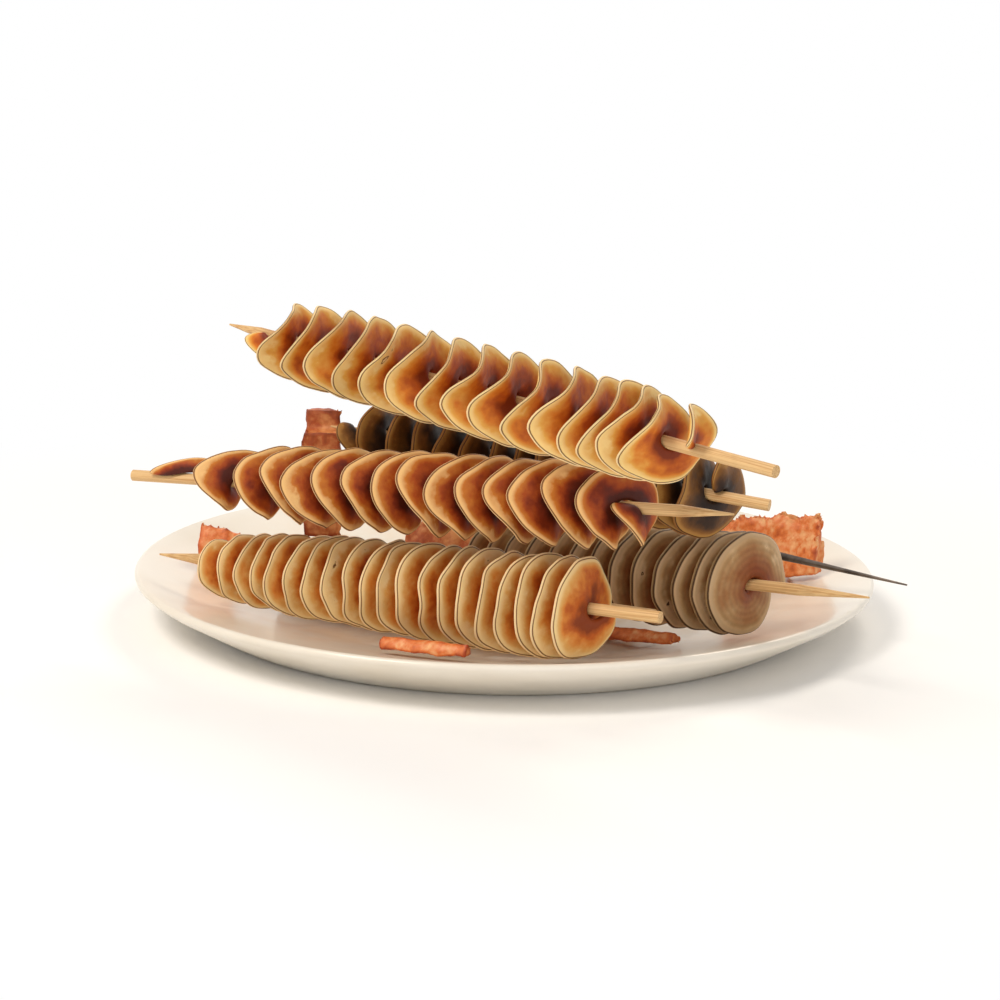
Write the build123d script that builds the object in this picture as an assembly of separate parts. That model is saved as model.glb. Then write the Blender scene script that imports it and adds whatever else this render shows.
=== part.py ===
"""A serving platter heaped with spiral-cut potatoes on skewers and fried potato wedges.

The platter stands on its foot ring, with the origin at the ring's centre, +Z up and the
diner on the -Y side. Each spiral potato is one unbroken ribbon wound round its skewer.
Skewers and potatoes are dropped onto what carries them, so a change of one size moves
whatever lies on it.
"""

from build123d import *
from dataclasses import dataclass
from math import ceil, cos, dist, hypot, pi, radians, sin, sqrt
import os

# ---- fits and fineness -------------------------------------------------------------
REST_GAP = 0.35          # a piece lies this far from what carries it
HOLE_CLEARANCE = 0.4     # ribbon's inner edge to its skewer
PROBE_STEP = 4.0         # spacing of the measuring stations along a roll
STEPS_PER_TURN = 12      # ribbon sections in one turn
EDGE_POINTS = 5          # measuring points on the ribbon's edge from one section to the next
RADIAL_STEPS = 2         # strips across the ribbon, from its inner to its outer edge
END_SHARE = 0.45         # share of a slice's tip, ruffle and dish that the end slices use
CROWD_CELLS = 48         # steps in which the spacing of the turns is added up
RUNOUT_POWER = 0.7       # how bluntly the ribbon narrows at its ends
RUNOUT_WIDTH = 1.0       # width that is left at its very end

# ---- how unlike each other the slices of one potato are ----------------------------
TIP_UNEVEN, TIP_BEAT, TIP_SHIFT = 0.22, 23.0, 1.3
DRIFT, DRIFT_BEAT, DRIFT_SHIFT = 0.35, 37.0, 0.7
EDGE_UNEVEN, EDGE_BEAT, EDGE_SWELL = 0.012, 61.0, 17.0

# ---- platter -----------------------------------------------------------------------
RIM_RADIUS = 175.0
RIM_HEIGHT = 23.0
RIM_THICKNESS = 4.0
WELL_RADIUS = 112.0
WELL_HEIGHT = 8.0
BASE_THICKNESS = 4.6
FOOT_RADIUS = 142.0
FOOT_WIDTH = 8.0
WELL_FILLET = 18.0
LIP_FILLET = 1.7
FOOT_FILLET = 1.2

# ---- skewers -----------------------------------------------------------------------
BAMBOO_RADIUS = 2.5
BAMBOO_POINT = 22.0
STEEL_RADIUS = 2.2
STEEL_POINT = 95.0
TIP_RADIUS = 0.4

# ---- wedges ------------------------------------------------------------------------
WEDGE_SECTIONS = 9       # cuts along a wedge
WEDGE_ROUGHNESS = 0.055  # unevenness of the fried surface, as a share of the width
ROUGH_BEAT, ROUGH_STEP = 2.3, 1.9    # how it changes along the wedge and round it
WEDGE_LOW_ENDS = 0.2     # share of the height that follows the taper at the ends
WEDGE_OUTLINE = (        # corners of the cross-section, as shares of half the width and the height
    (-1.0, 0.0), (1.0, 0.0), (0.92, 0.45), (0.25, 1.0), (-0.55, 0.9), (-0.95, 0.4),
)


@dataclass(frozen=True)
class Skewer:
    """A round stick: its left end in plan, the way it points, and its own sizes."""

    x: float             # left end, seen from the diner
    y: float
    heading: float       # degrees from +X towards the diner
    rise: float          # degrees that the right end is raised
    length: float
    radius: float = BAMBOO_RADIUS
    point: float = BAMBOO_POINT
    point_right: bool = True


@dataclass(frozen=True)
class Spiral:
    """A potato cut into one ribbon: where it sits on its skewer and how it is wound."""

    start: float         # from the skewer's left end
    length: float
    radii: tuple         # outer radius at even stations, left to right
    turns: float
    thickness: float
    lean: float          # how far a slice tips, in mm along the skewer at its edge
    lean_way: float      # degrees round the skewer of the edge that tips furthest
    ruffle: float        # how far the edge waves, twice in a turn
    ruffle_way: float
    cup: float           # how far the edge is dished towards the left
    hand: int            # +1 or -1, the way the blade turned
    wound_from: float = 0.0  # degrees round the skewer where the ribbon starts
    curl: float = 0.0    # how far the edge waves, three times in a turn
    curl_way: float = 0.0
    flutter: float = 0.6     # how unlike each other neighbouring slices are
    crowd: tuple = (1.0, 1.0)    # spacing of the turns at even stations
    runout: tuple = (0.5, 0.5)   # turns over which the ribbon narrows at its left and right end


@dataclass(frozen=True)
class Wedge:
    """A fried potato wedge lying along a line in plan, on the platter."""

    x0: float
    y0: float
    x1: float
    y1: float
    width: float
    height: float
    taper: float = 0.6   # share of the width left at the ends
    bow: float = 0.0     # sideways bend at mid length


SKEWERS = {
    "top": Skewer(-129, -12, 43.7, -3.7, 318, point_right=False),
    "middle": Skewer(-167, -60.5, 23.5, 2.4, 282),
    "front": Skewer(-160, -33, 30.9, 2.2, 261, point_right=False),
    "right": Skewer(-17, -9, 38.7, 4.5, 217, point=34.0),
    "rear": Skewer(-79, -54, 22.1, -4.5, 205, point_right=False),
    "steel": Skewer(-32, 178, 50.1, 1.5, 330, radius=STEEL_RADIUS, point=STEEL_POINT),
    "hidden": Skewer(-110, -7, 33.4, 2.2, 209, point_right=False),
}

# the top potato's slices stand even until they bunch up before the last one
TOP_SPACING = (1.05,) * 10 + (1.0, 0.85, 0.6, 0.55, 0.6, 1.5)

SPIRALS = {
    "top": Spiral(25, 265, (16, 20.5, 20.5, 20.5, 20.5, 20.5, 20, 17), 16, 2.4,
                  lean=5.0, lean_way=300, ruffle=4.4, ruffle_way=45, cup=-2.0, hand=1, wound_from=80,
                  curl=4.0, curl_way=50, runout=(0.5, 0.2), crowd=TOP_SPACING),
    "middle": Spiral(20, 235, (12, 17.5, 19, 19.3, 19.3, 19.3, 19.3, 18), 15, 2.4,
                     lean=9.0, lean_way=235, ruffle=2.6, ruffle_way=140, cup=-3.0, hand=-1, wound_from=60,
                     curl=2.0, curl_way=130, crowd=(2.4, 1.0, 1.0, 1.0, 1.0, 1.0, 1.0, 0.9)),
    "front": Spiral(32, 207, (15, 18.5, 20.5, 21.5, 22.5, 23.3, 23.8, 23.8), 20, 2.8,
                    lean=5.0, lean_way=270, ruffle=1.4, ruffle_way=30, cup=-2.6, hand=1, wound_from=276,
                    curl=1.0, curl_way=90, flutter=0.8, crowd=(1.0, 1.0, 1.0, 1.0, 0.8)),
    "right": Spiral(8, 158, (19.5, 22, 23, 23.5, 24.2, 24.4), 13, 5.0,
                    lean=3.0, lean_way=270, ruffle=1.0, ruffle_way=0, cup=-1.6, hand=-1, wound_from=252,
                    flutter=0.4, runout=(0.5, 0.0), crowd=(1.0, 1.0, 1.0, 1.0, 0.55)),
    "rear": Spiral(9, 184, (15, 19.5, 20, 20, 20, 20), 15, 3.2,
                   lean=8.0, lean_way=250, ruffle=2.4, ruffle_way=45, cup=-2.0, hand=1, wound_from=50,
                   runout=(0.5, 0.3), crowd=(1.2, 1.1, 1.0, 0.8)),
    "steel": Spiral(72, 92, (18, 20, 20, 20, 18), 8, 2.8,
                    lean=3.0, lean_way=270, ruffle=1.4, ruffle_way=0, cup=-2.0, hand=-1, wound_from=324),
    "hidden": Spiral(12, 148, (14, 17, 18, 18, 17), 13, 2.4,
                     lean=3.0, lean_way=270, ruffle=1.6, ruffle_way=60, cup=-2.0, hand=1, wound_from=192),
}

WEDGES = {
    "left": Wedge(-148, 14, -126, 12, 20, 22, taper=0.8),
    "right": Wedge(103, 30, 151, 3, 14, 34, taper=0.75, bow=1.5),
    "front": Wedge(-52, -130, -14, -152, 11, 7, taper=0.7),
    "under_left": Wedge(-104, -36, -52, -66, 13, 8, taper=0.6),
    "mid_right": Wedge(39, -77, 75, -106, 13, 7, taper=0.7),
    "core": Wedge(-48, 14, -6, 6, 22, 36, taper=0.7),
}

# the wedge that stands on the lower rolls and carries the rear skewer's left end on a ledge
PROP_X = -83.0
PROP_Y = -51.0
PROP_WIDTH = 21.0
PROP_DEPTH = 17.0
PROP_TAPER = 0.86
PROP_ABOVE = 9.0         # how far it stands above the ledge, behind the skewer
LEDGE_STEP = 0.2         # height over which the ledge is cut


# ---- placing -----------------------------------------------------------------------
def direction(stick):
    """Unit vector from a skewer's left end to its right end."""
    flat, up = cos(radians(stick.rise)), sin(radians(stick.rise))
    turn = radians(stick.heading)
    return Vector(flat * cos(turn), -flat * sin(turn), up)


def across(stick):
    """The two unit vectors square to a skewer: level, then the one nearest to up."""
    along = direction(stick)
    level = along.cross(Vector(0, 0, 1)).normalized()
    return level, level.cross(along).normalized()


def read_row(values, share):
    """Value at a share of the way along a row of even stations."""
    place = min(max(share, 0.0), 1.0) * (len(values) - 1)
    left = min(int(place), len(values) - 2)
    return values[left] + (place - left) * (values[left + 1] - values[left])


def spread(spiral, share):
    """Place of a turn, as a share of the potato's length, with the crowding of its turns."""
    cells = [read_row(spiral.crowd, (i + 0.5) / CROWD_CELLS) for i in range(CROWD_CELLS)]
    whole = min(int(share * CROWD_CELLS), CROWD_CELLS - 1)
    return (sum(cells[:whole]) + cells[whole] * (share * CROWD_CELLS - whole)) / sum(cells)


def outer_radius(spiral, place):
    """Greatest radius of a potato at a share of its length."""
    steps = (k / CROWD_CELLS for k in range(CROWD_CELLS))
    turn = next((step for step in steps if spread(spiral, step) >= place), 1.0)
    return max(read_row(spiral.radii, turn), read_row(spiral.radii, turn - 1 / CROWD_CELLS))


def stations(name):
    """Points (as distance along the skewer, radius) that bound a loaded skewer."""
    stick, spiral = SKEWERS[name], SPIRALS[name]
    count = ceil(stick.length / PROBE_STEP)
    free = [(stick.length * i / count, stick.radius) for i in range(count + 1)]
    count = ceil(spiral.length / PROBE_STEP)
    shares = [i / count for i in range(count + 1)]
    return free + [(spiral.start + spiral.length * s, outer_radius(spiral, s)) for s in shares]


def platter_height(reach):
    """Height of the platter's eating surface at a distance from its centre."""
    if reach <= WELL_RADIUS:
        return WELL_HEIGHT
    slope = (RIM_HEIGHT - WELL_HEIGHT) / (RIM_RADIUS - WELL_RADIUS)
    return WELL_HEIGHT + slope * (reach - WELL_RADIUS)


def drop(name, under, laid):
    """Height of a skewer's left end when it rests on the platter and the named rolls."""
    stick = SKEWERS[name]
    along = direction(stick)
    level, upright = across(stick)
    base = Vector(stick.x, stick.y, 0)
    height = 0.0
    low_points = edge_points(ribbon(stick, SPIRALS[name], base))
    for reach in (0, stick.length):
        low_points.append(base + along * reach - upright * stick.radius)
    for edge in low_points:
        out = hypot(edge.X, edge.Y)
        if out <= RIM_RADIUS:
            height = max(height, platter_height(out) + REST_GAP - edge.Z)
    for reach, radius in stations(name):
        middle = base + along * reach
        for other in under:
            for point, width in laid[other]:
                apart = hypot(point.X - middle.X, point.Y - middle.Y)
                touch = radius + width + REST_GAP
                if apart < touch:
                    need = point.Z + sqrt(touch ** 2 - apart ** 2) - middle.Z
                    height = max(height, need)
    return height


def lay_rolls():
    """Drop every roll in turn; gives each left end and each roll's measuring balls."""
    order = {
        "front": (), "right": (), "steel": (), "hidden": (),
        "rear": ("right", "steel", "hidden"),
        "middle": ("front", "right", "hidden", "rear"),
        "top": ("front", "right", "rear", "middle"),
    }
    ends, laid = {}, {}
    for name, under in order.items():
        stick = SKEWERS[name]
        ends[name] = Vector(stick.x, stick.y, drop(name, under, laid))
        along = direction(stick)
        laid[name] = [(ends[name] + along * reach, radius) for reach, radius in stations(name)]
    return ends, laid


# ---- solids ------------------------------------------------------------------------
def skin(rings):
    """A closed solid of flat triangles through a row of closed rings of points."""
    faces = []

    def panel(*corners):
        faces.append(Face(Wire.make_polygon(corners, close=True)))

    size = len(rings[0])
    for low, high in zip(rings, rings[1:]):
        for i in range(size):
            j = (i + 1) % size
            panel(low[i], low[j], high[j])
            panel(low[i], high[j], high[i])
    for ring in (rings[0], rings[-1]):
        for i in range(1, size - 1):
            panel(ring[0], ring[i], ring[i + 1])
    return Solid(Shell(faces))


def build_platter():
    """The glazed platter: a turned section with a foot ring and a sloping rim."""
    inner_foot = FOOT_RADIUS - FOOT_WIDTH
    recess = WELL_HEIGHT - BASE_THICKNESS
    under_rim = RIM_HEIGHT - RIM_THICKNESS
    corners = [
        (0, recess, 0), (inner_foot - recess, recess, 0), (inner_foot, 0, 0),
        (FOOT_RADIUS, 0, FOOT_FILLET), (RIM_RADIUS, under_rim, LIP_FILLET),
        (RIM_RADIUS, RIM_HEIGHT, LIP_FILLET), (WELL_RADIUS, WELL_HEIGHT, WELL_FILLET),
        (0, WELL_HEIGHT, 0),
    ]
    spots = [(out, up) for out, up, _ in corners]
    with BuildPart() as platter:
        with BuildSketch(Plane.XZ):
            with BuildLine():
                FilletPolyline(*spots, radius=[radius for _, _, radius in corners], close=True)
            make_face()
        revolve(axis=Axis.Z)
    return platter.part.solid()


def build_skewer(stick, end):
    """A round stick with a long point at one end and a square-cut end at the other."""
    along = direction(stick)
    plain = stick.length - stick.point
    flat_end, way = (end, along) if stick.point_right else (end + along * stick.length, -along)
    shank = Solid.make_cylinder(stick.radius, plain, Plane(flat_end, z_dir=way))
    point = Solid.make_cone(stick.radius, TIP_RADIUS, stick.point, Plane(flat_end + way * plain, z_dir=way))
    return shank.fuse(point).solid()


def ribbon(stick, spiral, end):
    """Sections of one ribbon wound round its skewer, each slice tipped, dished and ruffled."""
    along = direction(stick)
    level, upright = across(stick)
    bore = stick.radius + HOLE_CLEARANCE
    half = spiral.thickness / 2
    steps = round(spiral.turns * STEPS_PER_TURN)
    reach = spiral.length - 2 * half - 2 * margin(spiral)
    rings = []
    for step in range(steps + 1):
        share = step / steps
        turn = radians(spiral.wound_from) + spiral.hand * 2 * pi * spiral.turns * share
        edge = read_row(spiral.radii, share)
        edge *= 1 - EDGE_UNEVEN * spiral.flutter * (1 + sin(EDGE_BEAT * share) * cos(EDGE_SWELL * share))
        edge = bore + RUNOUT_WIDTH + (edge - bore - RUNOUT_WIDTH) * fullness(spiral, share)
        side = level * sin(turn) + upright * cos(turn)
        flat = spiral.start + half + margin(spiral) + reach * spread(spiral, share)
        face = []
        for k in range(RADIAL_STEPS + 1):
            out = bore + (edge - bore) * k / RADIAL_STEPS
            face.append((out, flat + warp(spiral, turn, out / edge, share)))
        front = [(out, place - half) for out, place in face]
        back = [(out, place + half) for out, place in reversed(face)]
        rings.append([end + along * place + side * out for out, place in front + back])
    return rings


def fullness(spiral, share):
    """Width of the ribbon near its ends, as a share of its full width."""
    before, after = spiral.turns * share, spiral.turns * (1 - share)
    parts = [away / over for away, over in zip((before, after), spiral.runout) if over]
    return sin(pi / 2 * min([1.0] + parts)) ** RUNOUT_POWER


def edge_points(rings):
    """Close-set points on both outer edges of a ribbon."""
    points = []
    for low, high in zip(rings, rings[1:]):
        for corner in (RADIAL_STEPS, RADIAL_STEPS + 1):
            run = high[corner] - low[corner]
            points += [low[corner] + run * (k / EDGE_POINTS) for k in range(EDGE_POINTS + 1)]
    return points


def build_spiral(stick, spiral, end):
    """The closed solid of one ribbon, with its least gap to itself printed."""
    rings = ribbon(stick, spiral, end)
    print_self_gap(rings, spiral)
    return skin(rings)


def margin(spiral):
    """Length taken at each end by the tipped, ruffled and dished slices."""
    return END_SHARE * (abs(spiral.lean) + abs(spiral.ruffle) + abs(spiral.cup) + abs(spiral.curl))


def warp(spiral, turn, part, share):
    """How far a point at a part of the radius stands along the skewer from a flat slice."""
    restless = 1 + TIP_UNEVEN * spiral.flutter * sin(TIP_BEAT * share + TIP_SHIFT)
    drift = DRIFT * spiral.flutter * sin(DRIFT_BEAT * share + DRIFT_SHIFT)
    tip = spiral.lean * restless * part * cos(turn - radians(spiral.lean_way) + drift)
    wave = spiral.ruffle * part ** 2 * cos(2 * turn - radians(2 * spiral.ruffle_way) + drift)
    curl = spiral.curl * part ** 3 * cos(3 * (turn - radians(spiral.curl_way)) + 2 * drift)
    return tip + wave + curl + spiral.cup * part ** 2


def print_self_gap(rings, spiral):
    """Print the least distance between one turn's corner points and the next turn's."""
    least = min(
        dist(tuple(p), tuple(q))
        for i in range(len(rings) - STEPS_PER_TURN)
        for j in range(i + STEPS_PER_TURN - 1, min(i + STEPS_PER_TURN + 2, len(rings)))
        for p in rings[i][RADIAL_STEPS + 1:]
        for q in rings[j][:RADIAL_STEPS + 1]
    )
    print(f"  ribbon of {spiral.turns} turns: least gap to itself {least:.2f} mm")


def wedge_ring(middle, side, up, width, height, wobble):
    """A wedge's cross-section: flat bottom, one steep and one slanting cut face."""
    ring = []
    for k, (out, high) in enumerate(WEDGE_OUTLINE):
        rough = 1 - WEDGE_ROUGHNESS * (1 + sin(wobble * ROUGH_BEAT + k * ROUGH_STEP))
        rise = up * (high * height) * (rough if high else 1)
        ring.append(middle + side * (out * width / 2) * rough + rise)
    return ring


def build_wedge(wedge):
    """A wedge on the platter, its underside clear of the sloping rim."""
    run = Vector(wedge.x1 - wedge.x0, wedge.y1 - wedge.y0, 0)
    side = Vector(run.Y, -run.X, 0).normalized()
    bases = []
    for x, y in ((wedge.x0, wedge.y0), (wedge.x1, wedge.y1)):
        corners = [Vector(x, y, 0) + side * (s * wedge.width / 2) for s in (-1, 0, 1)]
        bases.append(max(platter_height(hypot(c.X, c.Y)) for c in corners) + REST_GAP)
    start = Vector(wedge.x0, wedge.y0, bases[0])
    climb = run + Vector(0, 0, bases[1] - bases[0])
    rings = []
    for k in range(WEDGE_SECTIONS):
        share = k / (WEDGE_SECTIONS - 1)
        swell = wedge.taper + (1 - wedge.taper) * sin(pi * share)
        middle = start + climb * share + side * (wedge.bow * sin(pi * share))
        height = wedge.height * (1 - WEDGE_LOW_ENDS * (1 - swell))
        rings.append(wedge_ring(middle, side, Vector(0, 0, 1), wedge.width * swell, height, k))
    return skin(rings)


def build_prop(ends):
    """A wedge standing on the lower rolls, with a ledge under the rear skewer's left end."""
    left, right = PROP_X - PROP_WIDTH / 2, PROP_X + PROP_WIDTH / 2
    front, back = PROP_Y - PROP_DEPTH / 2, PROP_Y + PROP_DEPTH / 2
    seat = [
        point.Z
        for name in ("front", "hidden")
        for point in edge_points(ribbon(SKEWERS[name], SPIRALS[name], ends[name]))
        if left <= point.X <= right and front <= point.Y <= back
    ]
    low = max(seat) + REST_GAP
    stick, end = SKEWERS["rear"], ends["rear"]
    along = direction(stick)
    reach = (right - stick.x) / along.X
    width = TIP_RADIUS + (stick.radius - TIP_RADIUS) * min(1.0, reach / stick.point)
    ledge = end.Z + along.Z * reach - width - REST_GAP
    behind = end.Y + stick.radius + REST_GAP
    high = ledge + PROP_ABOVE
    cuts = [(low + (ledge - low) * k / WEDGE_SECTIONS, front) for k in range(WEDGE_SECTIONS + 1)]
    cuts += [(ledge + LEDGE_STEP, behind), ((ledge + high) / 2, behind), (high, behind)]
    rings = []
    for k, (z, near) in enumerate(cuts):
        share = (z - low) / (high - low)
        swell = PROP_TAPER + (1 - PROP_TAPER) * sin(pi * share)
        middle = Vector(PROP_X, near, z)
        depth = (back - near) * swell
        rings.append(wedge_ring(middle, Vector(1, 0, 0), Vector(0, 1, 0), PROP_WIDTH * swell, depth, k))
    print(f"  prop wedge from z {low:.1f}, ledge {ledge:.1f}, top {high:.1f}")
    return skin(rings)


def report_rolls(ends, laid):
    """Print where each roll lies and how close the rolls come to each other."""
    names = list(ends)
    for name in names:
        end, far = ends[name], ends[name] + direction(SKEWERS[name]) * SKEWERS[name].length
        print(f"{name}: left end {tuple(round(v, 1) for v in end)}, "
              f"right end {tuple(round(v, 1) for v in far)}")
    for i, one in enumerate(names):
        for other in names[i + 1:]:
            least = min((p - q).length - r - s for p, r in laid[one] for q, s in laid[other])
            if least < 6:
                print(f"  {one} to {other}: {least:.2f} mm")


def main():
    """Build every piece and write one file for each."""
    os.makedirs("parts", exist_ok=True)
    ends, laid = lay_rolls()
    report_rolls(ends, laid)
    pieces = {"platter": build_platter(), "wedge_prop": build_prop(ends)}
    for name, stick in SKEWERS.items():
        pieces[f"skewer_{name}"] = build_skewer(stick, ends[name])
        pieces[f"potato_{name}"] = build_spiral(stick, SPIRALS[name], ends[name])
    for name, wedge in WEDGES.items():
        pieces[f"wedge_{name}"] = build_wedge(wedge)
    for name, piece in pieces.items():
        export_step(piece, os.path.join("parts", f"{name}.step"))


main()
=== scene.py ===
"""Dresses the platter of spiral-cut potatoes on skewers.

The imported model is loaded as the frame. The skewers keep their CAD shapes and get their
finishes here. The platter is turned again with a rounder lip, and each potato ribbon and each
fried wedge is modelled again, thinner, more ruffled and rougher than the solid it stands for.
"""

import logging
import math
from dataclasses import dataclass
from enum import Enum

import bpy
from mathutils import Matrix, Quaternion, Vector, noise


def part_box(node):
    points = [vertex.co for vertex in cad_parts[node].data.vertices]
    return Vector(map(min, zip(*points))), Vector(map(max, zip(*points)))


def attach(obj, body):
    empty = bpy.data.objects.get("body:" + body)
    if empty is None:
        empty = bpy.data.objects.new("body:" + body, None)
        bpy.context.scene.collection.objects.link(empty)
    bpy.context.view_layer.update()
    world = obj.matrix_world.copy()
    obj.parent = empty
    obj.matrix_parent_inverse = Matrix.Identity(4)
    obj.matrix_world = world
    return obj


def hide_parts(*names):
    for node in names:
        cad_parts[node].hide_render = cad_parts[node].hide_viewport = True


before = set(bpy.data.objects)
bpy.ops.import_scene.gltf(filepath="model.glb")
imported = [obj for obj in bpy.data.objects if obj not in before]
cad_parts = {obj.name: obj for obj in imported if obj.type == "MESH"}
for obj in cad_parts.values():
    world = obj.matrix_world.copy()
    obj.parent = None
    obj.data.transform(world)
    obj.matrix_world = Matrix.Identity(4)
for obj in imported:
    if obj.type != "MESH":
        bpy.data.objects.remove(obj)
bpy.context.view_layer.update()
MM = 0.001
LOG = logging.getLogger("platter")

# how unlike each other the slices of one potato are, as in the part's source
TIP_UNEVEN, TIP_BEAT, TIP_SHIFT = 0.22, 23.0, 1.3
DRIFT, DRIFT_BEAT, DRIFT_SHIFT = 0.35, 37.0, 0.7
EDGE_UNEVEN, EDGE_BEAT, EDGE_SWELL = 0.012, 61.0, 17.0
CROWD_CELLS = 48         # steps in which the spacing of the turns is added up
RUNOUT_POWER = 0.7       # how bluntly a ribbon narrows at its ends
RUNOUT_WIDTH = 1.0       # width left at its very end, in mm

# noise that bends and notches the slices: its path round a turn and from turn to turn
NOISE_ROUND, NOISE_CLIMB = 1.3, 0.45
NOTCH_SCALE, NOTCH_DEPTH = 1.4, 0.12     # broad dents of the edge, as a share of the radius
NICK_SCALE, NICK_DEPTH = 4.5, 0.05       # small ones
NOTCH_PLACE, FRILL_PLACE = Vector((5.0, 0.0, 0.0)), Vector((0.0, 7.0, 0.0))
FRILLS, FRILL_CREEP, FRILL_SCALE = 5, 1.7, 0.8     # waves in a turn and how they move on
WOBBLE_ROUND, WOBBLE_OUT = 4.5, 3.0
TIP_RADIUS = 0.4         # of a skewer's point, in mm

Node = bpy.types.Node
Tree = bpy.types.NodeTree
Object = bpy.types.Object


class Hand(Enum):
    """The way the cutting blade turned, seen along the skewer."""

    RIGHT = 1
    LEFT = -1


# ---- helpers for meshes ----------------------------------------------------------------
def start_afresh() -> None:
    """Leaves edit mode and deselects everything."""
    if bpy.context.object and bpy.context.object.mode != "OBJECT":
        bpy.ops.object.mode_set(mode="OBJECT")
    bpy.ops.object.select_all(action="DESELECT")


def pick(piece: Object) -> None:
    """Makes one piece the only selected and the active object."""
    start_afresh()
    piece.select_set(True)
    bpy.context.view_layer.objects.active = piece


def name_piece(name: str) -> Object:
    """Names the active object and its mesh.

    Args:
        name: The piece's new name.

    Returns:
        The active object.
    """
    piece = bpy.context.object
    piece.name = name
    piece.data.name = name
    return piece


def finish_with(piece: Object, kind: str, **settings: object) -> None:
    """Adds a modifier with its settings and applies it.

    Args:
        piece: The piece to change.
        kind: The modifier's type.
        settings: Values of the modifier's properties.
    """
    pick(piece)
    modifier = piece.modifiers.new(kind.title(), kind)
    for key, value in settings.items():
        setattr(modifier, key, value)
    bpy.ops.object.modifier_apply(modifier=modifier.name)


def settle(piece: Object) -> None:
    """Gives a piece outward normals, smooth faces and its place in its mesh."""
    pick(piece)
    bpy.ops.object.transform_apply(location=True, rotation=True, scale=True)
    bpy.ops.object.mode_set(mode="EDIT")
    bpy.ops.mesh.select_all(action="SELECT")
    bpy.ops.mesh.normals_make_consistent(inside=False)
    bpy.ops.object.mode_set(mode="OBJECT")
    bpy.ops.object.shade_smooth_by_angle(angle=math.radians(50))


def dress(piece: Object, material: bpy.types.Material) -> None:
    """Gives a piece its only material."""
    piece.data.materials.clear()
    piece.data.materials.append(material)


# ---- helpers for materials -------------------------------------------------------------
def linear(code: str) -> tuple[float, float, float, float]:
    """Turns an sRGB hex value into linear red, green, blue and alpha.

    Args:
        code: Six hex digits, with or without a leading #.

    Returns:
        The linear colour.
    """
    digits = code.lstrip("#")
    parts = [int(digits[i:i + 2], 16) / 255 for i in (0, 2, 4)]
    plain = [p / 12.92 if p <= 0.04045 else ((p + 0.055) / 1.055) ** 2.4 for p in parts]
    return plain[0], plain[1], plain[2], 1.0


def add(
    tree: Tree,
    kind: str,
    values: dict[str, object] | None = None,
    links: dict[str, bpy.types.NodeSocket] | None = None,
    stops: list[tuple[float, str]] | None = None,
    **settings: object,
) -> Node:
    """Adds a node with its settings, socket values, colour stops and links.

    Args:
        tree: The material's node tree.
        kind: The node's type, without the part "ShaderNode".
        values: Values of unlinked input sockets, by socket name or number.
        links: Output sockets to link from, by input socket name or number.
        stops: Places and hex colours of a colour ramp.
        settings: Values of the node's own properties.

    Returns:
        The new node.
    """
    node = tree.nodes.new(f"ShaderNode{kind}")
    for key, value in settings.items():
        setattr(node, key, value)
    for key, value in (values or {}).items():
        node.inputs[key].default_value = value
    for key, source in (links or {}).items():
        tree.links.new(source, node.inputs[key])
    if stops:
        ramp = node.color_ramp.elements
        while len(ramp) < len(stops):
            ramp.new(1.0)
        for element, (place, code) in zip(ramp, stops):
            element.position = place
            element.color = linear(code)
    return node


def blank(name: str) -> tuple[bpy.types.Material, Tree, Node]:
    """A new material with a principled shader.

    Args:
        name: The finish's name.

    Returns:
        The material, its node tree and the shader node.
    """
    material = bpy.data.materials.new(name)
    material.use_nodes = True
    tree = material.node_tree
    return material, tree, tree.nodes["Principled BSDF"]


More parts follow.
